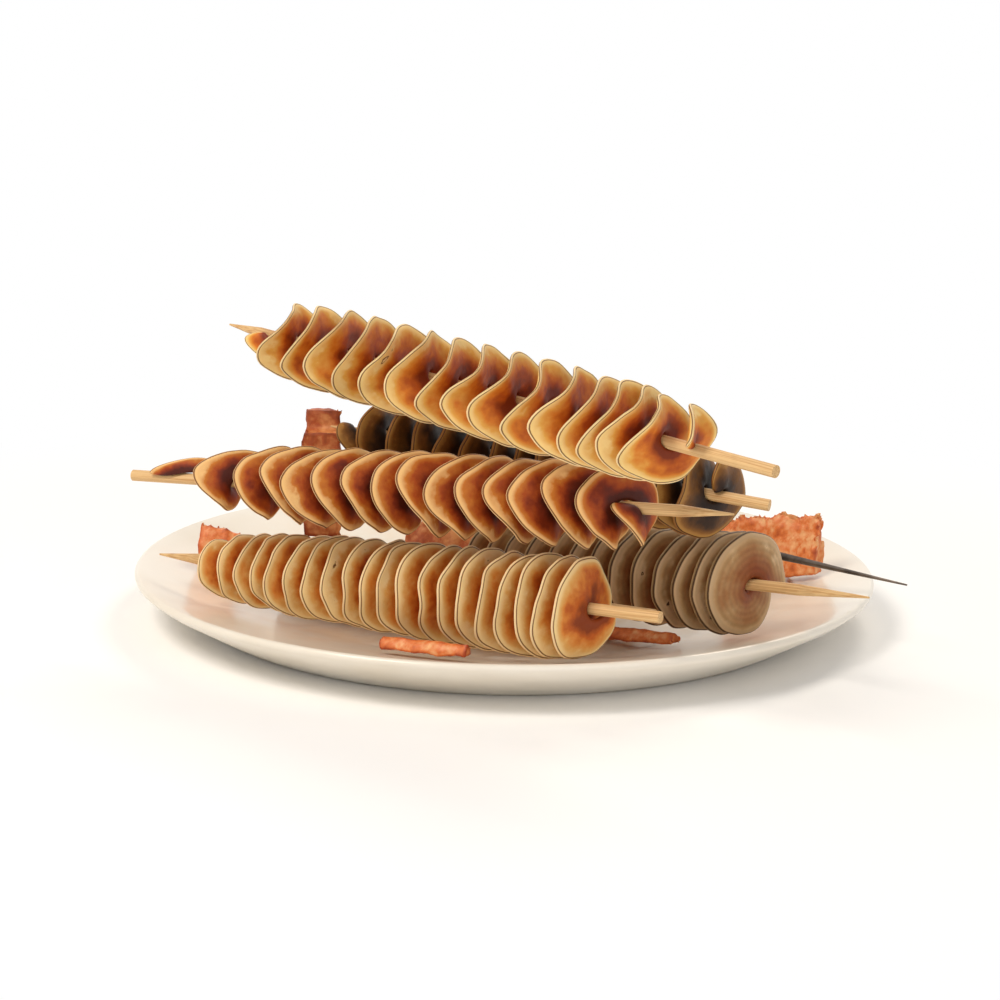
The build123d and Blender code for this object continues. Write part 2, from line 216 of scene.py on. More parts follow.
# ---- finishes --------------------------------------------------------------------------
@dataclass(frozen=True)
class FriedPotato:
    """Spiral-cut potato, deep fried: greasy, with painted shade deep in its folds, some browning, edges
    pale partly as painted highlight, and a thin dark skin line.

    The colours run from the middle of the slice to its edge.
    """

    name: str
    dark: str            # down by the skewer: painted shade deep between the slices
    deep: str            # painted shade at the bottom of the folds
    warm: str            # the folds: partly browning, partly painted shade
    flesh: str           # the broad face of a slice
    pale: str            # the thin part next to the skin, lighter partly as painted highlight
    skin: str            # the line of skin round the face
    rim: str             # the cut edge itself, lighter partly as painted highlight
    blush: float = 0.5   # how far browning reaches out over the face
    rings: float = 0.0   # strength of the blade's marks round the slice
    roughness: float = 0.42

    def make(self) -> bpy.types.Material:
        """Builds the material.

        Returns:
            The finished material.
        """
        material, tree, shader = blank(self.name)
        place = add(tree, "TexCoord")
        parts = add(tree, "SeparateXYZ", links={0: place.outputs["UV"]})
        # browned patches 14 mm across, and mottling of 4 mm, shift the colours outwards
        patch = add(tree, "TexNoise", {"Scale": 1 / 0.014, "Detail": 3.0, "Roughness": 0.55},
                    {"Vector": place.outputs["Object"]})
        mottle = add(tree, "TexNoise", {"Scale": 1 / 0.004, "Detail": 4.0, "Roughness": 0.6},
                     {"Vector": place.outputs["Object"]})
        shift = add(tree, "MapRange",
                    {"From Min": 0.3, "From Max": 0.7, "To Min": -0.5 * self.blush,
                      "To Max": 0.42 * (1 - self.blush)},
                    {"Value": patch.outputs["Fac"]})
        grain = add(tree, "MapRange", {"From Min": 0.3, "From Max": 0.7, "To Min": -0.07, "To Max": 0.07},
                    {"Value": mottle.outputs["Fac"]})
        # some slices fry darker than their neighbours: the tone changes along the ribbon
        track = add(tree, "VectorMath", {1: (34.0, 1.6, 0.0)}, {0: place.outputs["UV"]},
                    operation="MULTIPLY")
        batch = add(tree, "TexNoise", {"Scale": 1.0, "Detail": 2.0}, {"Vector": track.outputs[0]})
        tone = add(tree, "MapRange", {"From Min": 0.3, "From Max": 0.7, "To Min": -0.2, "To Max": 0.14},
                   {"Value": batch.outputs["Fac"]})
        fried = add(tree, "Math", links={0: shift.outputs[0], 1: tone.outputs[0]}, operation="ADD")
        both = add(tree, "Math", links={0: fried.outputs[0], 1: grain.outputs[0]}, operation="ADD")
        # the skin line keeps its place: the shift fades towards the edge
        inside = add(tree, "MapRange", {"From Min": 0.72, "From Max": 0.9, "To Min": 1.0, "To Max": 0.0},
                     {"Value": parts.outputs["Y"]})
        moved = add(tree, "Math", links={0: both.outputs[0], 1: inside.outputs[0]}, operation="MULTIPLY")
        radial = add(tree, "Math", links={0: parts.outputs["Y"], 1: moved.outputs[0]}, operation="ADD")
        # the ramp paints light and shade: dark and deep are painted shade between the slices, warm is
        # browning mixed with painted shade, pale and rim are partly painted highlight
        colour = add(tree, "ValToRGB", links={"Fac": radial.outputs[0]},
                     stops=[(0.12, self.dark), (0.36, self.deep), (0.56, self.warm), (0.78, self.flesh),
                            (0.91, self.pale), (0.95, self.pale), (0.968, self.skin), (0.982, self.skin),
                            (0.996, self.rim)])
        # the blade leaves rings about 2.5 mm apart
        swirl = add(tree, "Math", {1: 2 * math.pi * 7.5}, {0: parts.outputs["Y"]}, operation="MULTIPLY")
        wave = add(tree, "Math", links={0: swirl.outputs[0]}, operation="SINE")
        ring = add(tree, "MapRange",
                   {"From Min": -1.0, "From Max": 1.0, "To Min": 1 - self.rings, "To Max": 1.0},
                   {"Value": wave.outputs[0]})
        marked = add(tree, "Mix", {0: 1.0}, {6: colour.outputs["Color"], 7: ring.outputs[0]},
                     data_type="RGBA", blend_type="MULTIPLY")
        tree.links.new(marked.outputs[2], shader.inputs["Base Color"])
        # crisp fried surface: fine blisters of 1.2 mm over the mottling
        blister = add(tree, "TexNoise", {"Scale": 1 / 0.0012, "Detail": 2.0},
                      {"Vector": place.outputs["Object"]})
        rough = add(tree, "MapRange",
                    {"From Min": 0.3, "From Max": 0.7, "To Min": self.roughness,
                      "To Max": self.roughness + 0.2},
                    {"Value": mottle.outputs["Fac"]})
        tree.links.new(rough.outputs[0], shader.inputs["Roughness"])
        first = add(tree, "Bump", {"Strength": 0.35, "Distance": 0.0006}, {"Height": mottle.outputs["Fac"]})
        second = add(tree, "Bump", {"Strength": 0.3, "Distance": 0.0002},
                     {"Height": blister.outputs["Fac"], "Normal": first.outputs["Normal"]})
        tree.links.new(second.outputs["Normal"], shader.inputs["Normal"])
        shader.inputs["IOR"].default_value = 1.45
        shader.inputs["Subsurface Weight"].default_value = 0.12
        shader.inputs["Subsurface Radius"].default_value = (0.004, 0.002, 0.001)
        shader.inputs["Specular IOR Level"].default_value = 0.32
        return material


@dataclass(frozen=True)
class FriedWedge:
    """A fried potato wedge: pale cut faces, orange crust and darker, crisper edges."""

    name: str
    face: str
    crust: str
    burnt: str
    share: float = 0.5   # how much of the surface is crust

    def make(self) -> bpy.types.Material:
        """Builds the material.

        Returns:
            The finished material.
        """
        material, tree, shader = blank(self.name)
        place = add(tree, "TexCoord")
        patch = add(tree, "TexNoise", {"Scale": 1 / 0.011, "Detail": 4.0, "Roughness": 0.62},
                    {"Vector": place.outputs["Object"]})
        speck = add(tree, "TexNoise", {"Scale": 1 / 0.0026, "Detail": 3.0},
                    {"Vector": place.outputs["Object"]})
        edge = add(tree, "NewGeometry")
        sharp = add(tree, "MapRange", {"From Min": 0.49, "From Max": 0.56, "To Min": 0.0, "To Max": 0.3},
                    {"Value": edge.outputs["Pointiness"]})
        mixed = add(tree, "Math", {2: 0.0}, {0: patch.outputs["Fac"], 1: sharp.outputs[0]}, operation="ADD")
        fine = add(tree, "MapRange", {"To Min": -0.09, "To Max": 0.09}, {"Value": speck.outputs["Fac"]})
        total = add(tree, "Math", links={0: mixed.outputs[0], 1: fine.outputs[0]}, operation="ADD")
        middle = 0.72 - 0.4 * self.share
        colour = add(tree, "ValToRGB", links={"Fac": total.outputs[0]},
                     stops=[(middle - 0.12, self.face), (middle + 0.06, self.crust),
                            (middle + 0.3, self.burnt)])
        tree.links.new(colour.outputs["Color"], shader.inputs["Base Color"])
        bump = add(tree, "Bump", {"Strength": 0.5, "Distance": 0.0006}, {"Height": speck.outputs["Fac"]})
        tree.links.new(bump.outputs["Normal"], shader.inputs["Normal"])
        shader.inputs["Roughness"].default_value = 0.5
        shader.inputs["IOR"].default_value = 1.45
        shader.inputs["Subsurface Weight"].default_value = 0.1
        shader.inputs["Subsurface Radius"].default_value = (0.004, 0.002, 0.001)
        return material


@dataclass(frozen=True)
class Bamboo:
    """Bamboo skewer, split and turned round: straw yellow, with long fibres and brown stains in blotches.
    """

    name: str
    heading: float       # degrees from +X towards the diner
    rise: float
    straw: str = "#e2bb82"
    fibre: str = "#c4935a"
    stain: str = "#8c5a2c"

    def make(self) -> bpy.types.Material:
        """Builds the material, with its fibres along the skewer.

        Returns:
            The finished material.
        """
        material, tree, shader = blank(self.name)
        place = add(tree, "TexCoord")
        # TEXTURE mapping turns the skewer's own axis onto X
        lie = add(tree, "Mapping",
                  {"Rotation": (0.0, -math.radians(self.rise), -math.radians(self.heading))},
                  {"Vector": place.outputs["Object"]}, vector_type="TEXTURE")
        # fibres 0.5 mm wide and about 40 mm long
        stretch = add(tree, "VectorMath", {1: (25.0, 2000.0, 2000.0)}, {0: lie.outputs[0]},
                      operation="MULTIPLY")
        fibres = add(tree, "TexNoise", {"Scale": 1.0, "Detail": 3.0}, {"Vector": stretch.outputs[0]})
        blotch = add(tree, "TexNoise", {"Scale": 1 / 0.02, "Detail": 2.0},
                     {"Vector": place.outputs["Object"]})
        lines = add(tree, "ValToRGB", links={"Fac": fibres.outputs["Fac"]},
                    stops=[(0.36, self.fibre), (0.56, self.straw)])
        stained = add(tree, "MapRange", {"From Min": 0.55, "From Max": 0.8, "To Min": 0.0, "To Max": 0.55},
                      {"Value": blotch.outputs["Fac"]})
        tint = add(tree, "Mix", {7: linear(self.stain)},
                   {0: stained.outputs[0], 6: lines.outputs["Color"]}, data_type="RGBA")
        tree.links.new(tint.outputs[2], shader.inputs["Base Color"])
        bump = add(tree, "Bump", {"Strength": 0.4, "Distance": 0.0002}, {"Height": fibres.outputs["Fac"]})
        tree.links.new(bump.outputs["Normal"], shader.inputs["Normal"])
        shader.inputs["Roughness"].default_value = 0.55
        return material


@dataclass(frozen=True)
class DarkSteel:
    """Steel skewer: dark brown-grey in patches, and finely scratched."""

    name: str = "dark brown-grey drawn steel"
    dark: str = "#3b322c"
    light: str = "#8b7d70"

    def make(self) -> bpy.types.Material:
        """Builds the material.

        Returns:
            The finished material.
        """
        material, tree, shader = blank(self.name)
        place = add(tree, "TexCoord")
        # patches of darker and lighter brown-grey over the steel
        tone_patches = add(tree, "TexNoise", {"Scale": 1 / 0.018, "Detail": 4.0},
                    {"Vector": place.outputs["Object"]})
        colour = add(tree, "ValToRGB", links={"Fac": tone_patches.outputs["Fac"]},
                     stops=[(0.35, self.dark), (0.7, self.light)])
        tree.links.new(colour.outputs["Color"], shader.inputs["Base Color"])
        scratch = add(tree, "TexNoise", {"Scale": 1 / 0.001, "Detail": 2.0},
                      {"Vector": place.outputs["Object"]})
        worn = add(tree, "MapRange", {"To Min": 0.25, "To Max": 0.5}, {"Value": scratch.outputs["Fac"]})
        tree.links.new(worn.outputs[0], shader.inputs["Roughness"])
        shader.inputs["Metallic"].default_value = 0.85
        return material


@dataclass(frozen=True)
class Porcelain:
    """Glazed porcelain: warm white, softly uneven, with a warm tint round the food, partly smeared frying
    fat and partly painted reflection of the food.
    """

    name: str = "warm white glazed porcelain"
    glaze: str = "#f1e9db"
    shade: str = "#e5dac7"
    # warm tint round the food: partly frying fat, partly painted reflection of the fried potatoes
    oil_and_reflection: str = "#e3c397"
    bare: str = "#d9cbb4"    # the unglazed foot

    def make(self) -> bpy.types.Material:
        """Builds the material.

        Returns:
            The finished material.
        """
        material, tree, shader = blank(self.name)
        place = add(tree, "TexCoord")
        parts = add(tree, "SeparateXYZ", links={0: place.outputs["Object"]})
        cloud = add(tree, "TexNoise", {"Scale": 1 / 0.06, "Detail": 2.0},
                    {"Vector": place.outputs["Object"]})
        base = add(tree, "ValToRGB", links={"Fac": cloud.outputs["Fac"]},
                   stops=[(0.3, self.shade), (0.6, self.glaze)])
        flat = add(tree, "VectorMath", {1: (1.0, 1.0, 0.0)}, {0: place.outputs["Object"]},
                   operation="MULTIPLY")
        reach = add(tree, "VectorMath", links={0: flat.outputs[0]}, operation="LENGTH")
        # round the food a warm tint in patches: partly smeared frying fat, partly painted reflection of the
        # fried potatoes
        smear = add(tree, "TexNoise", {"Scale": 1 / 0.03, "Detail": 4.0, "Roughness": 0.6},
                    {"Vector": place.outputs["Object"]})
        near = add(tree, "MapRange", {"From Min": 0.1, "From Max": 0.165, "To Min": 0.6, "To Max": 0.0},
                   {"Value": reach.outputs["Value"]})
        spots = add(tree, "MapRange", {"From Min": 0.42, "From Max": 0.62}, {"Value": smear.outputs["Fac"]})
        upper = add(tree, "MapRange", {"From Min": 0.006, "From Max": 0.0078},
                    {"Value": parts.outputs["Z"]})
        amount = add(tree, "Math", links={0: near.outputs[0], 1: spots.outputs[0]}, operation="MULTIPLY")
        inside = add(tree, "Math", links={0: amount.outputs[0], 1: upper.outputs[0]}, operation="MULTIPLY")
        oil_and_reflection_tint = add(tree, "Mix", {7: linear(self.oil_and_reflection)}, {0: inside.outputs[0], 6: base.outputs["Color"]},
                   data_type="RGBA")
        foot = add(tree, "MapRange", {"From Min": 0.0006, "From Max": 0.0002},
                   {"Value": parts.outputs["Z"]})
        whole = add(tree, "Mix", {7: linear(self.bare)}, {0: foot.outputs[0], 6: oil_and_reflection_tint.outputs[2]},
                    data_type="RGBA")
        tree.links.new(whole.outputs[2], shader.inputs["Base Color"])
        gloss = add(tree, "MapRange", {"To Min": 0.28, "To Max": 0.6}, {"Value": foot.outputs[0]})
        tree.links.new(gloss.outputs[0], shader.inputs["Roughness"])
        # the glaze pools in waves about 25 mm long
        ripple = add(tree, "TexNoise", {"Scale": 1 / 0.025, "Detail": 1.0},
                     {"Vector": place.outputs["Object"]})
        bump = add(tree, "Bump", {"Strength": 0.25, "Distance": 0.001}, {"Height": ripple.outputs["Fac"]})
        tree.links.new(bump.outputs["Normal"], shader.inputs["Normal"])
        shader.inputs["IOR"].default_value = 1.5
        shader.inputs["Coat Weight"].default_value = 0.15
        shader.inputs["Coat Roughness"].default_value = 0.12
        return material


# ---- skewers ---------------------------------------------------------------------------
@dataclass(frozen=True)
class Stick:
    """A skewer as the part's source places it, in millimetres and degrees."""

    name: str
    x: float
    y: float
    heading: float
    rise: float
    length: float
    radius: float = 2.5
    point_right: bool = True

    def along(self) -> Vector:
        """Unit vector from the left end to the right end."""
        flat, up = math.cos(math.radians(self.rise)), math.sin(math.radians(self.rise))
        turn = math.radians(self.heading)
        return Vector((flat * math.cos(turn), -flat * math.sin(turn), up))

    def across(self) -> tuple[Vector, Vector]:
        """The level unit vector on the diner's side and the one nearest to up."""
        along = self.along()
        level = along.cross(Vector((0, 0, 1))).normalized()
        return level, level.cross(along).normalized()

    def left_end(self) -> Vector:
        """The middle of the left end, at the height that the CAD node has.

        Returns:
            The point, in millimetres.
        """
        low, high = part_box(f"skewer_{self.name}")
        width = (TIP_RADIUS if not self.point_right else self.radius) * math.cos(math.radians(self.rise))
        height = low[2] / MM + width if self.rise > 0 else high[2] / MM - width
        return Vector((self.x, self.y, height))

    def dress(self, finish: Bamboo | DarkSteel, slot: str) -> None:
        """Gives the skewer's CAD node its finish."""
        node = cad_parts[f"skewer_{self.name}"]
        node.data.materials.clear()
        node.data.materials.append(finish.make())
        LOG.info("skewer_%s dressed in %s (%s)", self.name, finish.name, slot)


# ---- potatoes --------------------------------------------------------------------------
@dataclass(frozen=True)
class Roll:
    """A potato cut into one ribbon and wound round its skewer, in millimetres and degrees."""

    stick: Stick
    finish: FriedPotato
    body: str
    start: float
    length: float
    radii: tuple[float, ...]
    turns: float
    thickness: float
    lean: float
    lean_way: float
    ruffle: float
    ruffle_way: float
    cup: float
    hand: Hand
    wound_from: float
    crowd: tuple[float, ...] = (1.0, 1.0)    # spacing of the turns at even stations
    flutter: float = 0.6                     # how unlike each other neighbouring turns are
    wobble: float = 1.1                      # uneven frying of the slices, in mm
    bend: float = 2.6                        # slow bends that neighbouring slices share, in mm
    frill: float = 1.6                       # small waves of the edge, in mm
    curl: float = 0.0                        # third wave of the edge, in mm
    curl_way: float = 0.0
    taper: tuple[float, float] = (0.5, 0.5)  # turns over which the ends run out to nothing
    sections: int = 30                       # a turn
    strips: int = 6
    bore_gap: float = 0.4
    end_share: float = 0.45

    def table(self, values: tuple[float, ...], share: float) -> float:
        """Reads a row of even stations.

        Args:
            values: The values at the stations.
            share: The place, from 0 to 1.

        Returns:
            The value there.
        """
        place = min(max(share, 0.0), 1.0) * (len(values) - 1)
        left = min(int(place), len(values) - 2)
        return values[left] + (place - left) * (values[left + 1] - values[left])

    def spread(self, share: float) -> float:
        """Where a turn lies along the potato, with the crowding of the turns."""
        cells = [self.table(self.crowd, (i + 0.5) / CROWD_CELLS) for i in range(CROWD_CELLS)]
        full = share * CROWD_CELLS
        whole = min(int(full), CROWD_CELLS - 1)
        return (sum(cells[:whole]) + cells[whole] * (full - whole)) / sum(cells)

    def warp(self, turn: float, out: float, edge: float, share: float) -> float:
        """How far a point of a slice stands along the skewer from a flat slice."""
        part = out / edge
        restless = 1 + TIP_UNEVEN * self.flutter * math.sin(TIP_BEAT * share + TIP_SHIFT)
        drift = self.flutter * DRIFT * math.sin(DRIFT_BEAT * share + DRIFT_SHIFT)
        tip = self.lean * restless * part * math.cos(turn - math.radians(self.lean_way) + drift)
        wave = self.ruffle * part ** 2 * math.cos(2 * turn - math.radians(2 * self.ruffle_way) + drift)
        third = self.curl * part ** 3 * math.cos(3 * (turn - math.radians(self.curl_way)) + 2 * drift)
        return tip + wave + third + self.cup * part ** 2

    def point(self, share: float, part: float, end: Vector) -> Vector:
        """A point of the ribbon's middle surface.

        Args:
            share: The place along the ribbon, from 0 to 1.
            part: The place across it, from the hole at 0 to the edge at 1.
            end: The skewer's left end, in millimetres.

        Returns:
            The point, in metres.
        """
        level, upright = self.stick.across()
        bore = self.stick.radius + self.bore_gap
        edge = self.table(self.radii, share)
        beat = math.sin(EDGE_BEAT * share) * math.cos(EDGE_SWELL * share)
        edge *= 1 - EDGE_UNEVEN * self.flutter * (1 + beat)
        around = self.turns * share
        left = min(1.0, around / self.taper[0]) if self.taper[0] else 1.0
        right = min(1.0, (self.turns - around) / self.taper[1]) if self.taper[1] else 1.0
        full = math.sin(math.pi / 2 * min(left, right)) ** RUNOUT_POWER
        edge = bore + RUNOUT_WIDTH + (edge - bore - RUNOUT_WIDTH) * full
        turn = 2 * math.pi * around
        # neighbouring slices bend alike, because the place on the noise moves slowly from turn to turn
        spot = Vector((NOISE_ROUND * math.cos(turn), NOISE_ROUND * math.sin(turn),
                       NOISE_CLIMB * around + self.wound_from))
        edge *= 1 - (NOTCH_DEPTH * abs(noise.noise(spot * NOTCH_SCALE + NOTCH_PLACE))
                     + NICK_DEPTH * abs(noise.noise(spot * NICK_SCALE))) * full
        bend = noise.noise(spot)
        frill = math.sin(FRILLS * turn + FRILL_CREEP * around)
        frill *= noise.noise(spot * FRILL_SCALE + FRILL_PLACE)
        wobble = noise.noise(Vector((WOBBLE_ROUND * around, WOBBLE_OUT * part, self.wound_from)))
        bent = abs(self.lean) + abs(self.ruffle) + abs(self.cup) + abs(self.curl)
        margin = self.end_share * bent + self.thickness / 2
        reach = self.length - 2 * margin
        turn = math.radians(self.wound_from) + self.hand.value * turn
        out = bore + (edge - bore) * part
        place = self.start + margin + reach * self.spread(share) + self.warp(turn, out, edge, share)
        place += self.wobble * wobble * part + self.bend * bend * part + self.frill * frill * part ** 3
        side = level * math.sin(turn) + upright * math.cos(turn)
        return (end + self.stick.along() * place + side * out) * MM

    def build(self) -> Object:
        """Models the ribbon and puts it on its body.

        Returns:
            The ribbon.
        """
        start_afresh()
        count = round(self.turns * self.sections)
        bpy.ops.mesh.primitive_grid_add(x_subdivisions=count, y_subdivisions=self.strips, size=1.0)
        piece = name_piece(f"ribbon_{self.stick.name}")
        end = self.stick.left_end()
        thin = piece.vertex_groups.new(name="thin")
        for vertex in piece.data.vertices:
            share, part = vertex.co.x + 0.5, vertex.co.y + 0.5
            vertex.co = self.point(share, part, end)
            thin.add([vertex.index], 1.0 - 0.45 * part ** 3, "REPLACE")
        finish_with(piece, "SOLIDIFY", thickness=self.thickness * MM, offset=0.0, vertex_group="thin",
                    use_quality_normals=True)
        finish_with(piece, "SUBSURF", levels=1, render_levels=1)
        settle(piece)
        dress(piece, self.finish.make())
        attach(piece, self.body)
        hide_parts(f"potato_{self.stick.name}")
        LOG.info("%s on %s: %d faces", piece.name, self.body, len(piece.data.polygons))
        return piece


# ---- wedges ----------------------------------------------------------------------------
@dataclass(frozen=True)
class Chip:
    """A loose fried wedge that stands for its CAD node, with a rough crust."""

    name: str
    body: str
    finish: FriedWedge
    voxel: float = 1.1       # mm
    ripple: float = 1.1      # height of the uneven crust, in mm
    coarse: float = 9.0      # size of its lumps and of its grains, in mm
    fine: float = 2.6

    def build(self) -> Object:
        """Models the wedge from a merged copy of its CAD node.

        Returns:
            The wedge.
        """
        start_afresh()
        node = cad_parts[f"wedge_{self.name}"]
        low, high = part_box(f"wedge_{self.name}")
        size = [high[i] - low[i] for i in range(3)]
        bpy.ops.mesh.primitive_cube_add(size=1.0)
        piece = name_piece(f"chip_{self.name}")
        piece.data = node.data.copy()
        piece.data.name = piece.name
        piece.data.transform(node.matrix_world)
        pick(piece)
        bpy.ops.object.mode_set(mode="EDIT")
        bpy.ops.mesh.select_all(action="SELECT")
        bpy.ops.mesh.remove_doubles(threshold=0.00005)
        bpy.ops.mesh.normals_make_consistent(inside=False)
        bpy.ops.object.mode_set(mode="OBJECT")
        step = min(self.voxel * MM, min(size) / 5)
        finish_with(piece, "REMESH", mode="VOXEL", voxel_size=step, use_smooth_shade=True)
        finish_with(piece, "SMOOTH", factor=0.5, iterations=2)
        floor = min(v.co.z for v in piece.data.vertices)
        for vertex in piece.data.vertices:
            lumps = noise.noise(vertex.co / (self.coarse * MM))
            grains = noise.noise(vertex.co / (self.fine * MM))
            inward = vertex.normal * (self.ripple * MM * (0.9 * lumps + 0.35 * grains - 0.75))
            if vertex.co.z + inward.z >= floor:
                vertex.co += inward
        finish_with(piece, "SMOOTH", factor=0.5, iterations=2)
        settle(piece)
        dress(piece, self.finish.make())
        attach(piece, self.body)
        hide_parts(f"wedge_{self.name}")
        LOG.info("%s on %s: %d faces", piece.name, self.body, len(piece.data.polygons))
        return piece


# ---- setting ---------------------------------------------------------------------------
@dataclass(frozen=True)
class Studio:
    """The pale floor, soft lamps and the camera at the photograph's angle."""

    distance: float = 1.1
    elevation: float = 13.0
    target: tuple[float, float, float] = (0.0, 0.0, 0.040)
    lens: float = 82.96
    shift: tuple[float, float] = (-0.00518, 0.02756)
    roll: float = 0.98
    floor_colour: str = "#ffffff"

    def camera(self) -> None:
        """Creates the camera and makes it the scene's."""
        data = bpy.data.cameras.new("camera")
        data.lens, data.sensor_width = self.lens, 36.0
        data.shift_x, data.shift_y = self.shift
        data.clip_start, data.clip_end = 0.01, 20.0
        camera = bpy.data.objects.new("camera", data)
        bpy.context.scene.collection.objects.link(camera)
        up = math.radians(self.elevation)
        away = Vector((0.0, -math.cos(up), math.sin(up)))
        camera.location = Vector(self.target) + away * self.distance
        turn = (-away).to_track_quat("-Z", "Y") @ Quaternion((0, 0, 1), math.radians(self.roll))
        camera.rotation_euler = turn.to_euler()
        bpy.context.scene.camera = camera

    def lamp(
        self, name: str, place: tuple[float, float, float], size: float, power: float, tint: str
    ) -> None:
        """Adds one soft square lamp aimed at the food.

        Args:
            name: The lamp's name.
            place: Where it hangs, in metres.
            size: Its side, in metres.
            power: Its power, in watts.
            tint: Its colour.
        """
        data = bpy.data.lights.new(name, "AREA")
        data.size, data.energy = size, power
        data.color = linear(tint)[:3]
        lamp = bpy.data.objects.new(name, data)
        bpy.context.scene.collection.objects.link(lamp)
        lamp.location = place
        lamp.rotation_euler = (Vector(self.target) - Vector(place)).to_track_quat("-Z", "Y").to_euler()

    def floor(self) -> None:
        """Lays the pale floor: white to the camera, and it keeps the platter's shadow."""
        start_afresh()
        bpy.ops.mesh.primitive_circle_add(vertices=64, radius=4.0, fill_type="NGON")
        ground = name_piece("floor")
        material, tree, shader = blank("plain pale floor")
        shader.inputs["Base Color"].default_value = linear(self.floor_colour)
        shader.inputs["Roughness"].default_value = 0.9
        # away from the platter the camera sees plain white
        place = add(tree, "TexCoord")
        reach = add(tree, "VectorMath", links={0: place.outputs["Object"]}, operation="LENGTH")
        far = add(tree, "MapRange", {"From Min": 0.22, "From Max": 0.5}, {"Value": reach.outputs["Value"]},
                  interpolation_type="SMOOTHSTEP")
        rays = add(tree, "LightPath")
        seen = add(tree, "Math", links={0: far.outputs[0], 1: rays.outputs["Is Camera Ray"]},
                   operation="MULTIPLY")
        white = add(tree, "Emission", {"Color": (1.0, 1.0, 1.0, 1.0), "Strength": 1.0})
        mixed = add(tree, "MixShader",
                    links={0: seen.outputs[0], 1: shader.outputs[0], 2: white.outputs[0]})
        tree.links.new(mixed.outputs[0], tree.nodes["Material Output"].inputs["Surface"])
        ground.data.materials.append(material)

    def world(self) -> None:
        """Sets plain soft light from all round, seen as white."""
        world = bpy.data.worlds.new("plain white surroundings")
        world.use_nodes = True
        bpy.context.scene.world = world
        tree = world.node_tree
        tree.nodes.clear()
        rays = add(tree, "LightPath")
        seen = add(tree, "Math", links={0: rays.outputs["Is Camera Ray"], 1: rays.outputs["Is Glossy Ray"]},
                   operation="MAXIMUM")
        either = add(tree, "Math", links={0: seen.outputs[0], 1: rays.outputs["Is Transmission Ray"]},
                     operation="MAXIMUM")
        strength = add(tree, "MapRange", {"To Min": 0.45, "To Max": 1.0}, {"Value": either.outputs[0]})
        back = add(tree, "Background", {"Color": (1.0, 1.0, 1.0, 1.0)}, {"Strength": strength.outputs[0]})
        add(tree, "OutputWorld", links={"Surface": back.outputs[0]})

    def build(self) -> None:
        """Sets up the floor, the light and the camera."""
        self.floor()
        self.world()
        self.lamp("key", (-0.8, -0.7, 1.3), 0.6, 15.0, "#fff6ea")
        self.lamp("fill", (0.6, -1.4, 0.5), 1.0, 2.5, "#ffffff")
        self.lamp("rim", (0.6, 0.9, 1.3), 0.6, 9.0, "#fff3e2")
        self.camera()
        bpy.context.scene.view_settings.view_transform = "Standard"


# ---- the pieces of this platter --------------------------------------------------------
TOP = Stick("top", -129, -12, 43.7, -3.7, 318, point_right=False)
MIDDLE = Stick("middle", -167, -60.5, 23.5, 2.4, 282)
FRONT = Stick("front", -160, -33, 30.9, 2.2, 261, point_right=False)
RIGHT = Stick("right", -17, -9, 38.7, 4.5, 217)
REAR = Stick("rear", -79, -54, 22.1, -4.5, 205, point_right=False)
STEEL = Stick("steel", -32, 178, 50.1, 1.5, 330, radius=2.2)
HIDDEN = Stick("hidden", -110, -7, 33.4, 2.2, 209, point_right=False)

# in each potato below, the dark, deep and warm colours are painted shade between the slices, and the pale
# and rim colours are partly painted highlight
GOLDEN = FriedPotato("golden fried potato", "#7a2c06", "#b5530f", "#d67a22", "#e3a548", "#f1cc84",
                     "#6a3a14",
                     "#f3d69e", blush=0.5)
RUSSET = FriedPotato("russet fried potato", "#4a1505", "#7c2a0b", "#a84a15", "#c5752a", "#ecbd7c",
                     "#6b3814",
                     "#efc68c", blush=0.6)
TAN = FriedPotato("tan fried potato", "#86380c", "#c05d1a", "#da8636", "#e6b164", "#f3d498", "#6c3c16",
                  "#f2d3a0", blush=0.5)
# the right roll's colours are darkened and greyed as painted shade; its rings are real blade marks
SHADED_GREY_BROWN = FriedPotato("grey-brown fried potato", "#8a4620", "#9a5f36", "#aa784a", "#ba9262", "#d4b186",
                   "#4e341c",
                   "#c2a070", blush=0.35, rings=0.14)
# the rear and steel rolls lie in shade: their dark colours are painted shade
DEEP_SHADE_POTATO = FriedPotato("dark fried potato", "#1f0e05", "#38200d", "#5e3a14", "#82531f", "#a97a3a", "#301b0b",
                   "#966530", blush=0.5)

REDDISH = FriedWedge("reddish fried wedge", "#e09a5e", "#bb6032", "#86391a", share=0.5)
ORANGE = FriedWedge("orange fried wedge", "#f2b47c", "#e07a3c", "#a9441a", share=0.45)

# the top potato's slices stand even until they bunch up before the last one
TOP_SPACING = (1.05,) * 10 + (1.0, 0.85, 0.6, 0.55, 0.6, 1.5)

